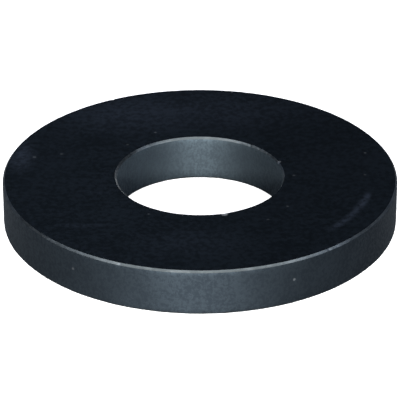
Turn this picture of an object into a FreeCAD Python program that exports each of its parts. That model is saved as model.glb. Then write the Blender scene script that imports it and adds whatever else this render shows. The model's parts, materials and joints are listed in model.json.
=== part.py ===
"""Thick flat washer for an M20 bolt: one turned steel ring.

The ring lies flat on the XY plane. The origin is the centre of the bottom face, and +Z is
the washer's axis, which points from the bottom face to the top face. All sizes are in mm.
"""
import FreeCAD, Part
import os

# What the washer fits
bolt_diameter = 20.0
bolt_clearance = 1.0

# The ring
outer_diameter = 50.0
thickness = 6.0

# The broken edges, each the leg of a 45 degree chamfer
rim_edge_break = 0.25
bore_edge_break = 0.25

# Worked out from the sizes above
bore_diameter = bolt_diameter + bolt_clearance
rim_radius = outer_diameter / 2
bore_radius = bore_diameter / 2

origin = FreeCAD.Vector(0, 0, 0)
washer_axis = FreeCAD.Vector(0, 0, 1)
full_turn = 360


def half_section():
    """The ring's cross-section in the XZ plane, as a closed face on the +X side."""
    corners = [
        (bore_radius + bore_edge_break, 0),
        (rim_radius - rim_edge_break, 0),
        (rim_radius, rim_edge_break),
        (rim_radius, thickness - rim_edge_break),
        (rim_radius - rim_edge_break, thickness),
        (bore_radius + bore_edge_break, thickness),
        (bore_radius, thickness - bore_edge_break),
        (bore_radius, bore_edge_break),
    ]
    points = [FreeCAD.Vector(radius, 0, height) for radius, height in corners]
    outline = Part.makePolygon(points + points[:1])
    return Part.Face(outline)


def washer_ring():
    """The washer: its cross-section turned once about the axis."""
    return half_section().revolve(origin, washer_axis, full_turn)


os.makedirs("parts", exist_ok=True)
washer_ring().exportStep("parts/washer_ring.step")
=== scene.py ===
"""A thick flat washer in blackened steel, modelled in full and set in a plain studio.

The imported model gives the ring's size and place. The ring is modelled again here with crowned
edge breaks, tool marks, nicks and wear, and each kind of surface gets its own finish: the ground
faces, the turned rim, the drawn bore and the worn edges. All sizes are in metres.
"""
from __future__ import annotations

import json
import logging
import math
from dataclasses import dataclass
from enum import Enum
from typing import Callable

import bpy
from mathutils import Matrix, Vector
from mathutils.kdtree import KDTree

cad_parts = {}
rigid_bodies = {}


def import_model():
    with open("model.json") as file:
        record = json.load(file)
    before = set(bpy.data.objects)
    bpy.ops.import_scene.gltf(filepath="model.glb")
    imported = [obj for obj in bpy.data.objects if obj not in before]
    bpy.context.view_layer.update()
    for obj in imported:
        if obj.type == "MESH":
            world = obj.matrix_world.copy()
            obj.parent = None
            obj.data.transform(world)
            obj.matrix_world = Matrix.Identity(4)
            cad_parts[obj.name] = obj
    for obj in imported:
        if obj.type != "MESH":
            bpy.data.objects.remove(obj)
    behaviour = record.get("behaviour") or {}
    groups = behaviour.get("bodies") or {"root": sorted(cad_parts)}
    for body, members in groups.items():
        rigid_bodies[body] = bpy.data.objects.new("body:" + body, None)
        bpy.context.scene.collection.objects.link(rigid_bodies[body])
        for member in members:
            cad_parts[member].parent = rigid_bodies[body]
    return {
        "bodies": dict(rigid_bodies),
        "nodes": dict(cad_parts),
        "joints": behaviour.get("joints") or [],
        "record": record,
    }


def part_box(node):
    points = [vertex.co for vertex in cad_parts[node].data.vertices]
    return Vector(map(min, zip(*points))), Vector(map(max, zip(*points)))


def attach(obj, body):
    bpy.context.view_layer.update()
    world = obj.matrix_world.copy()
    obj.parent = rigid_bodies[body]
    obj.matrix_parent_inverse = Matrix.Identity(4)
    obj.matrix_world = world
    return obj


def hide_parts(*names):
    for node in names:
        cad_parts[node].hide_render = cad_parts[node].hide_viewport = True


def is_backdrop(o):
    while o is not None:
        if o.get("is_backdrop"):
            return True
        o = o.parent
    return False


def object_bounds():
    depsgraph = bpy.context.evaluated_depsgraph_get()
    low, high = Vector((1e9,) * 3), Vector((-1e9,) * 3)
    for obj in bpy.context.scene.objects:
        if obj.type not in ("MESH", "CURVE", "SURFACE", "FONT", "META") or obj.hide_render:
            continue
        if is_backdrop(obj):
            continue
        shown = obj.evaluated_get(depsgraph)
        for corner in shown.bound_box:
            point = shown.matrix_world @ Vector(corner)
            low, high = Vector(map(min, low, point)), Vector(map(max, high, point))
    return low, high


MM = 0.001
LOG = logging.getLogger("washer")

Colour = tuple[float, float, float]
Span = tuple[float, float]
Socket = bpy.types.NodeSocket
Operand = Socket | float

WHITE_LIGHT: Colour = (1.0, 1.0, 1.0)
DAYLIGHT: Colour = (0.97, 0.99, 1.06)
COOL_LIGHT: Colour = (0.76, 0.95, 1.42)
BARE_STEEL: Colour = (0.54, 0.57, 0.59)

# Painted light and shade: the colours are this much paler at -X and darker at +X, where the light falls
# unevenly across the washer, and change over this much each side.
SIDE_SHADE = 0.11
SIDE_SHADE_REACH = 14 * MM

# A chip is bare out to the first share of its reach, and fades by the second.
CHIP_FADE: Span = (0.2, 0.6)

# A scattered speck is whole out to this share of its radius.
SPECK_CORE = 1 / 3

# The parts of a noise's range that turn into a whole change, from crisp to soft.
CRISP: Span = (0.42, 0.58)
CLEAR: Span = (0.40, 0.60)
SOFT: Span = (0.35, 0.65)
SOFTEST: Span = (0.30, 0.70)
GRITTY = 0.7

# How level and how upright a surface is, by its normal's height.
LEVEL = 0.999
UPRIGHT = 0.001


class Region(Enum):
    """The kinds of surface on the ring. The value is the place of its material slot."""

    FACE = 0
    RIM = 1
    BORE = 2
    EDGE = 3


def radius_of(point: Vector) -> float:
    """Returns how far a point stands from the washer's axis."""
    return math.hypot(point.x, point.y)


def polar(radius: float, angle: float, height: float) -> Vector:
    """Returns the point at a radius and height, at an angle in degrees from +X."""
    turn = math.radians(angle)
    return Vector((radius * math.cos(turn), radius * math.sin(turn), height))


def direction(azimuth: float, elevation: float) -> Vector:
    """Finds the way from the washer to something that stands round it.

    Args:
        azimuth: Degrees round the axis, where 0 is the front, at -Y, and 90 is +X.
        elevation: Degrees above the floor.

    Returns:
        A vector of length one.
    """
    turn = math.radians(azimuth)
    rise = math.radians(elevation)
    flat = math.cos(rise)
    return Vector((math.sin(turn) * flat, -math.cos(turn) * flat, math.sin(rise)))


class NodeBench:
    """Puts together the nodes of one material."""

    def __init__(self, name: str) -> None:
        """Starts a metallic material that holds the object's own coordinates.

        Args:
            name: The material's name.
        """
        self.material = bpy.data.materials.new(name)
        self.material.use_nodes = True
        self.tree = self.material.node_tree
        self.shader = self.tree.nodes["Principled BSDF"]
        self.shader.inputs["Metallic"].default_value = 1.0
        self.place = self.add("ShaderNodeTexCoord").outputs["Object"]

    def add(self, kind: str, **settings: object) -> bpy.types.Node:
        """Adds a node and sets its properties.

        Args:
            kind: The node's type name.
            settings: The node's properties, by name.

        Returns:
            The new node.
        """
        node = self.tree.nodes.new(kind)
        for name, value in settings.items():
            setattr(node, name, value)
        return node

    def feed(self, target: Socket, source: Operand) -> None:
        """Links a socket to an input, or writes a number on it.

        Args:
            target: The input.
            source: The output to link, or the number to write.
        """
        if isinstance(source, (int, float)):
            target.default_value = source
        else:
            self.tree.links.new(source, target)

    def calc(self, operation: str, first: Operand, second: Operand = 0.0) -> Socket:
        """Works out one step of arithmetic.

        Args:
            operation: The Math node's operation.
            first: The first number.
            second: The second number, where the operation has one.

        Returns:
            The result.
        """
        node = self.add("ShaderNodeMath", operation=operation)
        self.feed(node.inputs[0], first)
        self.feed(node.inputs[1], second)
        return node.outputs[0]

    def mean(self, share: float, first: Socket, second: Socket) -> Socket:
        """Returns the weighted mean of two values, where the share is the second one's."""
        return self.calc("ADD", self.calc("MULTIPLY", first, 1 - share), self.calc("MULTIPLY", second, share))

    def stretched(self, across: float = 1.0, up: float = 1.0) -> Socket:
        """Scales the object's coordinates.

        Args:
            across: The scale along X.
            up: The scale along Z.

        Returns:
            The scaled coordinates.
        """
        node = self.add("ShaderNodeMapping")
        self.feed(node.inputs["Vector"], self.place)
        node.inputs["Scale"].default_value = (across, 1.0, up)
        return node.outputs["Vector"]

    def noise(self, place: Socket, size: float, detail: float = 2.0, crispness: float = 0.5) -> Socket:
        """Makes cloudy noise from 0 to 1.

        Args:
            place: The coordinates that it reads.
            size: How wide its largest spots are.
            detail: How many finer layers it has.
            crispness: How strong each finer layer is beside the one before.

        Returns:
            The noise.
        """
        node = self.add("ShaderNodeTexNoise")
        self.feed(node.inputs["Vector"], place)
        node.inputs["Scale"].default_value = 1.0 / size
        node.inputs["Detail"].default_value = detail
        node.inputs["Roughness"].default_value = crispness
        return node.outputs["Fac"]

    def band(self, value: Socket, start: float, end: float, low: float = 0.0, high: float = 1.0) -> Socket:
        """Carries a value over from one range to another, with soft ends.

        Args:
            value: The value to carry over.
            start: Where the range starts.
            end: Where it ends.
            low: The result at the start.
            high: The result at the end.

        Returns:
            The result.
        """
        node = self.add("ShaderNodeMapRange", interpolation_type="SMOOTHSTEP")
        self.feed(node.inputs["Value"], value)
        node.inputs["From Min"].default_value = start
        node.inputs["From Max"].default_value = end
        node.inputs["To Min"].default_value = low
        node.inputs["To Max"].default_value = high
        return node.outputs["Result"]

    def blend(self, share: Operand, first: Colour | Socket, second: Colour | Socket) -> Socket:
        """Mixes two colours.

        Args:
            share: How much of the second colour shows.
            first: The colour or socket under it.
            second: The colour or socket over it.

        Returns:
            The mixed colour.
        """
        node = self.add("ShaderNodeMix", data_type="RGBA")
        self.feed(node.inputs["Factor"], share)
        for socket, colour in ((node.inputs["A"], first), (node.inputs["B"], second)):
            if isinstance(colour, tuple):
                socket.default_value = (*colour, 1.0)
            else:
                self.tree.links.new(colour, socket)
        return node.outputs["Result"]

    def polar_place(self) -> tuple[Socket, Socket]:
        """Works out where a point is round the axis.

        Returns:
            Its distance from the axis, and its angle about it in radians.
        """
        node = self.add("ShaderNodeSeparateXYZ")
        self.feed(node.inputs[0], self.place)
        across, along = node.outputs["X"], node.outputs["Y"]
        squares = self.calc("ADD", self.calc("POWER", across, 2.0), self.calc("POWER", along, 2.0))
        return self.calc("SQRT", squares), self.calc("ARCTAN2", along, across)

    def specks(self, spacing: float, radius: float, share: float) -> Socket:
        """Scatters small round spots.

        Args:
            spacing: The width of the cells that may each hold one.
            radius: The spots' radius.
            share: The share of the cells that hold one.

        Returns:
            A mask that is 1 on a spot.
        """
        cells = self.add("ShaderNodeTexVoronoi")
        self.feed(cells.inputs["Vector"], self.place)
        cells.inputs["Scale"].default_value = 1.0 / spacing
        edge = radius / spacing
        spot = self.band(cells.outputs["Distance"], edge, SPECK_CORE * edge, 0.0, 1.0)
        pick = self.add("ShaderNodeSeparateColor")
        self.feed(pick.inputs[0], cells.outputs["Color"])
        chosen = self.calc("LESS_THAN", pick.outputs["Red"], share)
        return self.calc("MULTIPLY", spot, chosen)

    def bared(self, colour: Socket, ring: WasherRing, share: float = 1.0) -> Socket:
        """Shows bare steel in every chip and nick.

        Args:
            colour: The colour round them.
            ring: The ring that they are on.
            share: How much of the steel's brightness the surface gives.

        Returns:
            The colour with the steel in it.
        """
        for spot in FACE_CHIPS + NICKS:
            bare = self.calc("MULTIPLY", spot.mask(self, ring.place_of(spot)), share)
            colour = self.blend(bare, colour, BARE_STEEL)
        return colour

    def with_painted_side_shade(self, colour: Socket) -> Socket:
        """Paints light and shade into a colour: a little paler towards -X and darker towards +X, where the
        light falls unevenly across the washer.

        Args:
            colour: The colour to change.

        Returns:
            The changed colour.
        """
        split = self.add("ShaderNodeSeparateXYZ")
        self.feed(split.inputs[0], self.place)
        # Painted shade across X: above 1 towards -X, below 1 towards +X.
        paler = self.band(split.outputs["X"], -SIDE_SHADE_REACH, SIDE_SHADE_REACH, 1.0 + SIDE_SHADE, 1.0 - SIDE_SHADE)
        scaled = self.add("ShaderNodeVectorMath", operation="SCALE")
        self.feed(scaled.inputs[0], colour)
        self.feed(scaled.inputs["Scale"], paler)
        return scaled.outputs[0]

    def dress(self, colour: Socket, roughness: Socket, height: Socket, depth: float) -> bpy.types.Material:
        """Joins the finished patterns to the shader.

        Args:
            colour: The surface's colour.
            roughness: Its roughness.
            height: Its relief, from 0 to 1.
            depth: How deep that relief is.

        Returns:
            The material.
        """
        bump = self.add("ShaderNodeBump")
        bump.inputs["Strength"].default_value = 1.0
        bump.inputs["Distance"].default_value = depth
        self.feed(bump.inputs["Height"], height)
        self.feed(self.shader.inputs["Base Color"], colour)
        self.feed(self.shader.inputs["Roughness"], roughness)
        self.feed(self.shader.inputs["Normal"], bump.outputs["Normal"])
        return self.material


@dataclass(frozen=True)
class BareSpot:
    """A speck where the oxide has chipped off and the steel shows.

    The radius is from the ring's axis, the angle is in degrees from +X, and the drop is below
    the top face.
    """

    radius: float
    angle: float
    drop: float
    reach: float
    bare: float

    def mask(self, bench: NodeBench, place: Vector) -> Socket:
        """Finds how much bare steel shows.

        Args:
            bench: The material that the speck is on.
            place: The speck's middle.

        Returns:
            A mask that is the share of bare steel in the speck, and 0 beyond it.
        """
        away = bench.add("ShaderNodeVectorMath", operation="DISTANCE")
        bench.feed(away.inputs[0], bench.place)
        away.inputs[1].default_value = place
        core, fade = (share * self.reach for share in CHIP_FADE)
        return bench.band(away.outputs["Value"], core, fade, self.bare, 0.0)


@dataclass(frozen=True)
class Nick(BareSpot):
    """A small dent where the ring was knocked, with bare steel in it."""

    depth: float


FACE_CHIPS = tuple(
    BareSpot(radius * MM, angle, 0.0, reach * MM, bare)
    for radius, angle, reach, bare in (
        (13.3, 116, 0.40, 0.20),
        (21.8, 167, 0.55, 0.16),
        (18.7, 162, 0.50, 0.12),
        (12.6, 138, 0.45, 0.12),
        (22.1, 16, 0.40, 0.18),
        (11.9, -1, 0.45, 0.12),
        (13.8, -38, 0.40, 0.14),
        (14.6, -55, 0.40, 0.10),
        (12.3, -121, 0.35, 0.14),
        (20.9, 0, 0.40, 0.10),
    )
)
NICKS = tuple(
    Nick(radius * MM, angle, drop * MM, reach * MM, bare, depth * MM)
    for radius, angle, drop, reach, bare, depth in (
        (10.95, -74, 0.01, 0.90, 1.00, 0.040),
        (10.75, 20, 0.08, 0.55, 0.50, 0.090),
        (10.62, 63, 0.12, 0.35, 0.00, 0.025),
        (10.62, 52, 0.12, 0.30, 0.00, 0.030),
        (10.62, 44, 0.12, 0.30, 0.00, 0.025),
        (10.62, 35, 0.12, 0.30, 0.00, 0.025),
        (24.88, -113, 0.12, 0.50, 0.12, 0.050),
        (24.88, -51, 0.12, 0.40, 0.10, 0.040),
        (24.88, 118, 0.12, 0.50, 0.30, 0.080),
        (24.88, 38, 5.88, 0.60, 0.40, 0.090),
        (25.00, -63, 2.65, 0.40, 0.45, 0.030),
        (25.00, -128, 2.60, 0.40, 0.30, 0.030),
        (25.00, 74, 2.90, 0.45, 0.40, 0.040),
        (25.00, 139, 1.80, 0.40, 0.30, 0.030),
    )
)


@dataclass(frozen=True)
class WallFinish:
    """Blackened steel on a wall, with short streaks that run along the axis."""

    name: str
    dark: Colour
    light: Colour
    roughness: float
    streak_width: float
    streak_length: float
    grain: float
    clouds: float
    depth: float
    streak_share: float = 0.55
    cloud_share: float = 0.12
    roughness_swing: float = 0.06
    speck_spacing: float = 4.5 * MM
    speck_radius: float = 0.10 * MM
    speck_chance: float = 0.10
    speck_bare: float = 0.3

    def material(self, ring: WasherRing) -> bpy.types.Material:
        """Makes the finish.

        Args:
            ring: The ring that it goes on.

        Returns:
            The material.
        """
        bench = NodeBench(self.name)
        along = bench.stretched(up=self.streak_width / self.streak_length)
        streaks = bench.noise(along, self.streak_width, detail=3.0, crispness=GRITTY)
        grain = bench.noise(bench.place, self.grain, crispness=GRITTY)
        clouds = bench.noise(bench.place, self.clouds, detail=3.0)
        relief = bench.mean(self.streak_share, grain, streaks)
        tone = bench.mean(self.cloud_share, relief, clouds)
        # The wall's colour gets painted light and shade, paler towards -X and darker towards +X.
        colour = bench.with_painted_side_shade(bench.blend(bench.band(tone, *CRISP), self.dark, self.light))
        specks = bench.specks(self.speck_spacing, self.speck_radius, self.speck_chance)
        colour = bench.blend(bench.calc("MULTIPLY", specks, self.speck_bare), colour, BARE_STEEL)
        swing = self.roughness_swing
        roughness = bench.band(relief, *SOFT, self.roughness + swing, self.roughness - swing)
        return bench.dress(bench.bared(colour, ring), roughness, relief, self.depth)


@dataclass(frozen=True)
class RubMark:
    """A faint arc on a face, rubbed by something that turned on it. Angles are in degrees."""

    radius: float
    start: float
    end: float
    width: float
    strength: float
    core: float = 0.4

    def mask(self, bench: NodeBench, radius: Socket, angle: Socket) -> Socket:
        """Draws the arc.

        Args:
            bench: The material that it belongs to.
            radius: The distance from the axis.
            angle: The angle about the axis, in radians.

        Returns:
            A mask that is the mark's strength along its middle.
        """
        middle = math.radians((self.start + self.end) / 2)
        half = math.radians(abs(self.end - self.start) / 2)
        off_line = bench.calc("ABSOLUTE", bench.calc("SUBTRACT", radius, self.radius))
        off_middle = bench.calc("ABSOLUTE", bench.calc("SUBTRACT", angle, middle))
        across = bench.band(off_line, 0.0, self.width, self.strength, 0.0)
        return bench.calc("MULTIPLY", across, bench.band(off_middle, self.core * half, half, 1.0, 0.0))


@dataclass(frozen=True)
class SheenSmear:
    """A soft paler patch on a face. The broad ones are painted sheen, paler where the face would reflect more
    light; the narrow ones are smudges of thinner oxide. Across is along X, and along is along Y.
    """

    across: float
    along: float
    half_width: float
    half_depth: float
    strength: float

    def mask(self, bench: NodeBench) -> Socket:
        """Draws the patch.

        Args:
            bench: The material that it belongs to.

        Returns:
            A mask that is the patch's strength in its middle, and 0 beyond it.
        """
        squash = bench.add("ShaderNodeMapping")
        bench.feed(squash.inputs["Vector"], bench.place)
        scale = (1 / self.half_width, 1 / self.half_depth, 0.0)
        squash.inputs["Scale"].default_value = scale
        squash.inputs["Location"].default_value = (-self.across * scale[0], -self.along * scale[1], 0.0)
        away = bench.add("ShaderNodeVectorMath", operation="LENGTH")
        bench.feed(away.inputs[0], squash.outputs[0])
        return bench.band(away.outputs["Value"], 0.0, 1.0, self.strength, 0.0)


@dataclass(frozen=True)
class FaceFinish:
    """Blackened steel on a ground face: nearly matte, with smudges, patches of painted sheen, rub marks and
    specks.

    The oxide scatters light, so its colours are far darker than the walls'. What little it
    reflects is the metal share.
    """

    name: str
    dark: Colour
    light: Colour
    thin_oxide_and_sheen: Colour
    roughness: float
    metal: float
    smudge: float
    lines_per_smudge: int
    line_length: float
    grain: float
    depth: float
    marks: tuple[RubMark, ...]
    sheen_smears: tuple[SheenSmear, ...]
    line_share: float = 0.4
    grain_share: float = 0.65
    bare_share: float = 0.18
    roughness_swing: float = 0.03
    streakiness: Span = (0.6, 1.4)
    rub_span: Span = (0.2, 0.6)

    def material(self, ring: WasherRing) -> bpy.types.Material:
        """Makes the finish.

        Args:
            ring: The ring that it goes on.

        Returns:
            The material.
        """
        bench = NodeBench(self.name)
        bench.shader.inputs["Metallic"].default_value = self.metal
        bench.shader.inputs["Specular IOR Level"].default_value = 0.0
        radius, angle = bench.polar_place()
        smudges = bench.noise(bench.place, self.smudge, detail=4.0)
        line_width = self.smudge / self.lines_per_smudge
        lines = bench.noise(bench.stretched(across=line_width / self.line_length), line_width)
        grain = bench.noise(bench.place, self.grain, crispness=GRITTY)
        patches = bench.mean(self.line_share, smudges, lines)
        tone = bench.mean(self.grain_share, patches, grain)
        colour = bench.blend(bench.band(tone, *CLEAR), self.dark, self.light)
        streaky = bench.band(tone, *CLEAR, *self.streakiness)
        # Paint the smudges and the patches of painted sheen over the face's colour.
        for sheen_smear in self.sheen_smears:
            colour = bench.blend(bench.calc("MULTIPLY", sheen_smear.mask(bench), streaky), colour, self.thin_oxide_and_sheen)
        for mark in self.marks:
            worn = bench.band(grain, *self.rub_span)
            rubbed = bench.calc("MULTIPLY", mark.mask(bench, radius, angle), worn)
            colour = bench.blend(rubbed, colour, self.thin_oxide_and_sheen)
        # The face's colour gets painted light and shade across X before the chips are bared.
        colour = bench.bared(bench.with_painted_side_shade(colour), ring, self.bare_share)
        swing = self.roughness_swing
        roughness = bench.band(patches, *SOFTEST, self.roughness - swing, self.roughness + swing)
        return bench.dress(colour, roughness, grain, self.depth)


@dataclass(frozen=True)
class EdgeFinish:
    """The broken edges, where the oxide has worn away in patches and the steel shows through."""

    name: str
    oxide: Colour
    steel: Colour
    roughness: float
    patch: float
    grain: float
    depth: float
    worn: Span = (0.42, 0.68)
    roughness_swing: float = 0.05

    def material(self, ring: WasherRing) -> bpy.types.Material:
        """Makes the finish.

        Args:
            ring: The ring that it goes on.

        Returns:
            The material.
        """
        bench = NodeBench(self.name)
        patches = bench.noise(bench.place, self.patch, detail=3.0)
        grain = bench.noise(bench.place, self.grain)
        colour = bench.blend(bench.band(patches, *self.worn), self.oxide, self.steel)
        swing = self.roughness_swing
        roughness = bench.band(grain, *SOFTEST, self.roughness - swing, self.roughness + swing)
        return bench.dress(bench.bared(colour, ring), roughness, grain, self.depth)


FINISHES = {
    Region.FACE: FaceFinish(
        name="ground_face",
        dark=(0.0024, 0.0034, 0.0046),
        light=(0.0039, 0.0055, 0.0076),
        # Paler colour of the rub marks and the smudges of thinner oxide, and of the painted sheen patches.
        thin_oxide_and_sheen=(0.014, 0.018, 0.026),
        roughness=0.35,
        metal=0.015,
        smudge=7 * MM,
        lines_per_smudge=6,
        line_length=5 * MM,
        grain=0.65 * MM,
        depth=0.006 * MM,
        marks=(
            RubMark(21.6 * MM, -46, -14, 0.8 * MM, 0.60),
            RubMark(21.7 * MM, -24, -12, 0.7 * MM, 0.70),
        ),
        # The first four patches are broad painted sheen; the last two, narrow ones are smudges of thinner
        # oxide.
        sheen_smears=(
            SheenSmear(-11 * MM, 17 * MM, 12 * MM, 9 * MM, 0.18),
            SheenSmear(1 * MM, 18.5 * MM, 19 * MM, 9 * MM, 0.20),
            SheenSmear(-23 * MM, 5 * MM, 2.5 * MM, 6 * MM, 0.42),
            SheenSmear(-1 * MM, -18 * MM, 9 * MM, 6 * MM, 0.11),
            SheenSmear(-14.5 * MM, -13.5 * MM, 5 * MM, 0.8 * MM, 0.16),
            SheenSmear(-13.0 * MM, -4.8 * MM, 3.5 * MM, 0.8 * MM, 0.09),
        ),
    ),
    Region.RIM: WallFinish(
        name="turned_rim",
        dark=(0.032, 0.042, 0.052),
        light=(0.059, 0.077, 0.092),
        roughness=0.50,
        streak_width=0.42 * MM,
        streak_length=0.55 * MM,
        grain=0.40 * MM,
        clouds=3.0 * MM,
        depth=0.015 * MM,
    ),
    Region.BORE: WallFinish(
        name="drawn_bore",
        dark=(0.050, 0.065, 0.076),
        light=(0.074, 0.097, 0.111),
        roughness=0.58,
        streak_width=0.34 * MM,
        streak_length=0.7 * MM,
        grain=0.34 * MM,
        clouds=2.0 * MM,
        depth=0.015 * MM,
    ),
    Region.EDGE: EdgeFinish(
        name="worn_edge",
        oxide=(0.073, 0.083, 0.084),
        steel=(0.108, 0.121, 0.122),
        roughness=0.40,
        patch=2.2 * MM,
        grain=0.275 * MM,
        depth=0.004 * MM,
    ),
}


@dataclass(frozen=True)
class ToolMarks:
    """Uneven depth left on one kind of surface, as ridges whose length runs along the axis."""

    region: Region
    depth: float
    width: float
    length: float


MARKS = (
    ToolMarks(Region.EDGE, 0.04 * MM, 1.2 * MM, 1.2 * MM),
    ToolMarks(Region.RIM, 0.006 * MM, 0.6 * MM, 0.9 * MM),
    ToolMarks(Region.BORE, 0.006 * MM, 0.45 * MM, 1.8 * MM),
)


@dataclass
class WasherRing:
    """The washer's one piece, a steel ring with four broken edges."""

    bore_radius: float
    rim_radius: float
    bottom: float
    thickness: float
    edge_break: float
    sides: int = 1080
    edge_steps: int = 4
    edge_crown: float = 0.27
    wall_rows: int = 20
    face_rows: int = 10
    arris_angle: float = 16.0
    off_centre: float = 0.05 * MM
    tiny: float = 0.001 * MM

    @classmethod
    def from_frame(cls, frame: dict) -> WasherRing:
        """Reads the ring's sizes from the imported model.


        Returns:
            The ring, not yet modelled.
        """
        low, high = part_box("washer_ring")
        bore = next(mount["dims"] for mount in frame["record"]["mounts"] if mount["name"] == "bore")
        thickness = high.z - low.z
        return cls(
            bore_radius=bore["r_mm"] * MM,
            rim_radius=(high.x - low.x) / 2,
            bottom=low.z,
            thickness=thickness,
            edge_break=(thickness - bore["length_mm"] * MM) / 2,
        )

    @property
    def top(self) -> float:
        """The height of the top face."""
        return self.bottom + self.thickness

    @property
    def width(self) -> float:
        """The distance from the bore to the rim."""
        return self.rim_radius - self.bore_radius

    def place_of(self, spot: BareSpot) -> Vector:
        """Returns where the middle of a chip or nick is."""
        return polar(spot.radius, spot.angle, self.top - spot.drop)

    def build(self) -> bpy.types.Object:
        """Models the ring and dresses it.

        Returns:
            The finished piece.
        """
        self.turn_blank()
        self.open_bore()
        self.break_edges()
        self.shift_countersink()
        self.add_rows()
        self.sort_regions()
        bpy.ops.object.shade_smooth_by_angle(angle=math.radians(self.arris_angle))
        for marks in MARKS:
            self.roughen(marks)
        for nick in NICKS:
            self.dent(nick)
        return self.piece

    def turn_blank(self) -> None:
        """Adds the solid disc that the ring is cut from."""
        bpy.ops.object.select_all(action="DESELECT")
        bpy.ops.mesh.primitive_cylinder_add(
            vertices=self.sides,
            radius=self.rim_radius,
            depth=self.thickness,
            location=(0.0, 0.0, self.bottom + self.thickness / 2),
        )
        bpy.ops.object.transform_apply(location=True, rotation=True, scale=True)
        self.piece = bpy.context.object
        self.piece.name = "washer_body"
        self.piece.data.name = "washer_body"

    def open_bore(self) -> None:
        """Insets both caps to the bore's radius and bridges what is left of them."""
        self.pick_faces(lambda face: abs(face.normal.z) > LEVEL)
        bpy.ops.mesh.inset(thickness=self.width, use_even_offset=False)
        bpy.ops.mesh.bridge_edge_loops()
        bpy.ops.object.mode_set(mode="OBJECT")

    def break_edges(self) -> None:
        """Bevels the four sharp edges to a slightly crowned chamfer."""
        self.pick_edges(lambda a, b: self.same_height(a, b) and self.same_radius(a, b))
        bpy.ops.mesh.bevel(
            offset=self.edge_break,
            segments=self.edge_steps,
            profile=self.edge_crown,
            affect="EDGES",
        )
        bpy.ops.object.mode_set(mode="OBJECT")

    def shift_countersink(self) -> None:
        """Moves the mouth of the bore's upper edge break off centre, towards -X."""
        mouth = self.bore_radius + self.edge_break
        self.clear_picks("VERT")
        for point in self.piece.data.vertices:
            on_face = self.top - point.co.z < self.tiny
            point.select = on_face and abs(radius_of(point.co) - mouth) < self.tiny
        bpy.ops.object.mode_set(mode="EDIT")
        bpy.ops.transform.translate(
            value=(-self.off_centre, 0.0, 0.0),
            use_proportional_edit=True,
            proportional_edit_falloff="LINEAR",
            proportional_size=self.edge_break * math.sqrt(2),
        )
        bpy.ops.object.mode_set(mode="OBJECT")

    def add_rows(self) -> None:
        """Divides the walls in height and the faces in width."""
        self.pick_edges(lambda a, b: self.same_radius(a, b) and abs(a.z - b.z) > self.thickness / 2)
        bpy.ops.mesh.subdivide(number_cuts=self.wall_rows - 1)
        bpy.ops.object.mode_set(mode="OBJECT")
        self.pick_edges(lambda a, b: self.same_height(a, b) and self.far_across(a, b))
        bpy.ops.mesh.subdivide(number_cuts=self.face_rows - 1)
        bpy.ops.object.mode_set(mode="OBJECT")

    def same_height(self, a: Vector, b: Vector) -> bool:
        """Returns whether two points stand at one height."""
        return abs(a.z - b.z) < self.tiny

    def same_radius(self, a: Vector, b: Vector) -> bool:
        """Returns whether two points are equally far from the axis."""
        return abs(radius_of(a) - radius_of(b)) < self.tiny

    def far_across(self, a: Vector, b: Vector) -> bool:
        """Returns whether two points are more than half the ring's width apart."""
        return abs(radius_of(a) - radius_of(b)) > self.width / 2

    def pick_faces(self, wanted: Callable[[bpy.types.MeshPolygon], bool]) -> None:
        """Selects faces and leaves the piece in edit mode.

        Args:
            wanted: Says whether a face is selected.
        """
        self.clear_picks("FACE")
        for face in self.piece.data.polygons:
            face.select = wanted(face)
        bpy.ops.object.mode_set(mode="EDIT")

    def pick_edges(self, wanted: Callable[[Vector, Vector], bool]) -> None:
        """Selects edges and leaves the piece in edit mode.

        Args:
            wanted: Says whether an edge is selected, from its two ends.
        """
        self.clear_picks("EDGE")
        points = self.piece.data.vertices
        for edge in self.piece.data.edges:
            first, second = edge.vertices
            edge.select = wanted(points[first].co, points[second].co)
        bpy.ops.object.mode_set(mode="EDIT")

    def clear_picks(self, kind: str) -> None:
        """Deselects the whole mesh and leaves the piece in object mode.

        Args:
            kind: The kind of element that is picked next, VERT, EDGE or FACE.
        """
        bpy.ops.object.mode_set(mode="EDIT")
        bpy.ops.mesh.select_mode(type=kind)
        bpy.ops.mesh.select_all(action="DESELECT")
        bpy.ops.object.mode_set(mode="OBJECT")

    def region_at(self, face: bpy.types.MeshPolygon) -> Region:
        """Tells the kinds of surface apart.

        Args:
            face: A face of the ring.

        Returns:
            The kind of surface that it belongs to.
        """
        if abs(face.normal.z) > LEVEL:
            return Region.FACE
        if abs(face.normal.z) > UPRIGHT:
            return Region.EDGE
        if radius_of(face.center) > self.bore_radius + self.width / 2:
            return Region.RIM
        return Region.BORE

    def sort_regions(self) -> None:
        """Gives every face the material slot of its kind of surface."""
        for region in Region:
            self.piece.data.materials.append(FINISHES[region].material(self))
        for face in self.piece.data.polygons:
            face.material_index = self.region_at(face).value

    def roughen(self, marks: ToolMarks) -> None:
        """Sinks the surface of one kind unevenly, never outwards.

        Args:
            marks: The kind of surface, and the depth and size of its marks.
        """
        self.pick_faces(lambda face: face.material_index == marks.region.value)
        bpy.ops.object.vertex_group_add()
        bpy.ops.object.vertex_group_assign()
        bpy.ops.object.mode_set(mode="OBJECT")
        group = self.piece.vertex_groups.active
        clouds = bpy.data.textures.new("marks", "CLOUDS")
        clouds.noise_scale = marks.width
        bpy.ops.object.empty_add()
        guide = bpy.context.object
        guide.scale.z = marks.length / marks.width
        bpy.ops.object.select_all(action="DESELECT")
        self.piece.select_set(True)
        bpy.context.view_layer.objects.active = self.piece
        bpy.ops.object.modifier_add(type="DISPLACE")
        sink = self.piece.modifiers[-1]
        sink.texture = clouds
        sink.texture_coords = "OBJECT"
        sink.texture_coords_object = guide
        sink.vertex_group = group.name
        sink.mid_level = 1.0
        sink.strength = marks.depth
        bpy.ops.object.modifier_apply(modifier=sink.name)
        bpy.ops.object.vertex_group_remove()
        bpy.data.objects.remove(guide)
        bpy.data.textures.remove(clouds)

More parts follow.
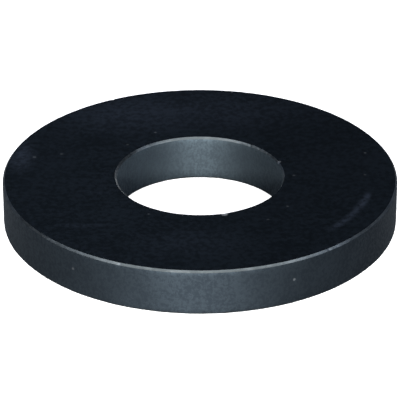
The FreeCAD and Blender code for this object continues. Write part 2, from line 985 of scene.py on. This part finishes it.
    def dent(self, nick: Nick) -> None:
        """Pushes the surface in at a nick, towards the middle of the ring's section.

        Args:
            nick: The dent's place, depth and reach.
        """
        self.clear_picks("VERT")
        points = self.piece.data.vertices
        tree = KDTree(len(points))
        for point in points:
            tree.insert(point.co, point.index)
        tree.balance()
        place, nearest, _ = tree.find(self.place_of(nick))
        points[nearest].select = True
        inwards = 1 - 2 * (radius_of(place) - self.bore_radius) / self.width
        downwards = 1 - 2 * (place.z - self.bottom) / self.thickness
        push = polar(inwards, nick.angle, downwards).normalized() * nick.depth
        bpy.ops.object.mode_set(mode="EDIT")
        bpy.ops.transform.translate(
            value=push,
            use_proportional_edit=True,
            proportional_edit_falloff="SMOOTH",
            proportional_size=nick.reach,
        )
        bpy.ops.object.mode_set(mode="OBJECT")


@dataclass(frozen=True)
class Softbox:
    """A soft lamp that faces the washer. Angles are in degrees and power is in watts."""

    name: str
    azimuth: float
    elevation: float
    distance: float
    width: float
    height: float
    power: float
    colour: Colour = WHITE_LIGHT

    def build(self, target: Vector) -> bpy.types.Object:
        """Sets the lamp up.

        Args:
            target: The point that it faces.

        Returns:
            The lamp.
        """
        away = direction(self.azimuth, self.elevation)
        bpy.ops.object.light_add(
            type="AREA",
            location=target + away * self.distance,
            rotation=away.to_track_quat("Z", "Y").to_euler(),
        )
        lamp = bpy.context.object
        lamp.name = self.name
        lamp.data.shape = "RECTANGLE"
        lamp.data.size = self.width
        lamp.data.size_y = self.height
        lamp.data.energy = self.power
        lamp.data.color = self.colour
        return lamp


@dataclass
class Studio:
    """The floor, the backdrop light, the lamps and the camera."""

    centre: Vector
    floor_height: float
    floor_size: float = 5.0
    floor_glow: float = 0.95
    floor_white: Colour = (0.6, 0.6, 0.6)
    floor_dim: Colour = (0.08, 0.08, 0.08)
    floor_under_bore: Colour = (0.15, 0.155, 0.165)
    bore_patch: Span = (9 * MM, 12 * MM)
    band_glow: float = 0.484
    band_start: Span = (4.0, 8.0)
    band_end: Span = (12.0, 16.0)
    lens: float = 258.2
    clip: Span = (0.01, 10.0)
    camera_elevation: float = 27.96
    camera_distance: float = 365.1 * MM
    aim_drop: float = 0.56 * MM
    lamps: tuple[Softbox, ...] = (
        Softbox("key", -1, 17, 0.8, 0.14, 0.14, 18.8),
        Softbox("low_front", -1, 4, 0.8, 0.14, 0.08, 2.1),
        Softbox("overhead", 0, 72, 0.7, 1.6, 0.4, 7.8, DAYLIGHT),
        Softbox("left_side", -85, 45, 0.8, 0.3, 0.3, 0.20, COOL_LIGHT),
        Softbox("right_side", 85, 45, 0.8, 0.3, 0.3, 0.34, COOL_LIGHT),
        Softbox("right_front", 70, 20, 0.8, 0.3, 0.3, 0.45, COOL_LIGHT),
        Softbox("left_back", -155, 35, 0.8, 0.3, 0.3, 0.22, COOL_LIGHT),
        Softbox("back", 180, 8, 0.8, 0.6, 0.18, 1.3),
    )

    def build(self) -> None:
        """Sets the whole studio up."""
        self.lay_floor()
        self.light_world()
        for lamp in self.lamps:
            lamp.build(self.centre)
        self.place_camera()

    def lay_floor(self) -> None:
        """Lays a plain pale floor that is dim to the washer, but for a patch under its bore."""
        bpy.ops.mesh.primitive_plane_add(size=self.floor_size, location=(0.0, 0.0, self.floor_height))
        bpy.ops.object.transform_apply(location=True, rotation=True, scale=True)
        floor = bpy.context.object
        floor.name = "floor"
        bench = NodeBench("pale_floor")
        nodes, links = bench.tree.nodes, bench.tree.links
        nodes.remove(bench.shader)
        glow = bench.add("ShaderNodeEmission")
        glow.inputs["Strength"].default_value = self.floor_glow
        white = bench.add("ShaderNodeBsdfDiffuse")
        white.inputs["Color"].default_value = (*self.floor_white, 1.0)
        pale = bench.add("ShaderNodeAddShader")
        links.new(glow.outputs[0], pale.inputs[0])
        links.new(white.outputs[0], pale.inputs[1])
        radius, _ = bench.polar_place()
        under_bore = bench.band(radius, *self.bore_patch, 1.0, 0.0)
        dim = bench.add("ShaderNodeBsdfDiffuse")
        links.new(bench.blend(under_bore, self.floor_dim, self.floor_under_bore), dim.inputs["Color"])
        choice = bench.add("ShaderNodeMixShader")
        links.new(bench.add("ShaderNodeLightPath").outputs["Is Camera Ray"], choice.inputs[0])
        links.new(dim.outputs[0], choice.inputs[1])
        links.new(pale.outputs[0], choice.inputs[2])
        links.new(choice.outputs[0], nodes["Material Output"].inputs["Surface"])
        floor.data.materials.append(bench.material)
        floor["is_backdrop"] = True

    def light_world(self) -> None:
        """Makes the backdrop white and lights the washer from a low band all round."""
        world = bpy.data.worlds.new("studio")
        world.use_nodes = True
        bpy.context.scene.world = world
        nodes, links = world.node_tree.nodes, world.node_tree.links
        nodes.clear()
        place = nodes.new("ShaderNodeTexCoord")
        split = nodes.new("ShaderNodeSeparateXYZ")
        links.new(place.outputs["Generated"], split.inputs[0])
        band = nodes.new("ShaderNodeMath")
        band.operation = "MULTIPLY"
        slopes = ((self.band_start, 0.0, self.band_glow), (self.band_end, 1.0, 0.0))
        for factor, ((start, end), low, high) in zip(band.inputs, slopes):
            slope = nodes.new("ShaderNodeMapRange")
            slope.inputs["From Min"].default_value = math.sin(math.radians(start))
            slope.inputs["From Max"].default_value = math.sin(math.radians(end))
            slope.inputs["To Min"].default_value = low
            slope.inputs["To Max"].default_value = high
            links.new(split.outputs["Z"], slope.inputs["Value"])
            links.new(slope.outputs["Result"], factor)
        seen = nodes.new("ShaderNodeLightPath").outputs["Is Camera Ray"]
        washer_light = nodes.new("ShaderNodeBackground")
        washer_light.inputs["Color"].default_value = (*COOL_LIGHT, 1.0)
        links.new(band.outputs[0], washer_light.inputs["Strength"])
        backdrop = nodes.new("ShaderNodeBackground")
        backdrop.inputs["Color"].default_value = (*WHITE_LIGHT, 1.0)
        choice = nodes.new("ShaderNodeMixShader")
        links.new(seen, choice.inputs[0])
        links.new(washer_light.outputs[0], choice.inputs[1])
        links.new(backdrop.outputs[0], choice.inputs[2])
        out = nodes.new("ShaderNodeOutputWorld")
        links.new(choice.outputs[0], out.inputs["Surface"])

    def place_camera(self) -> None:
        """Stands the camera in front of the washer, looking down on it."""
        back = direction(0.0, self.camera_elevation)
        up = back.cross(Vector((1.0, 0.0, 0.0)))
        aim = self.centre - up * self.aim_drop
        bpy.ops.object.camera_add(
            location=aim + back * self.camera_distance,
            rotation=back.to_track_quat("Z", "Y").to_euler(),
        )
        camera = bpy.context.object
        camera.name = "camera"
        camera.data.lens = self.lens
        camera.data.clip_start, camera.data.clip_end = self.clip
        bpy.context.scene.camera = camera


def main() -> None:
    """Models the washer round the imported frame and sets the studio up."""
    logging.basicConfig(level=logging.INFO, format="%(message)s")
    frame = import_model()
    cad_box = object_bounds()
    ring = WasherRing.from_frame(frame)
    piece = ring.build()
    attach(piece, "root")
    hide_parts("washer_ring")
    LOG.info("%s: %d faces", piece.name, len(piece.data.polygons))
    bpy.context.scene.view_settings.view_transform = "Standard"
    low, high = cad_box
    Studio(centre=(low + high) / 2, floor_height=low.z).build()


if __name__ == "__main__":
    main()
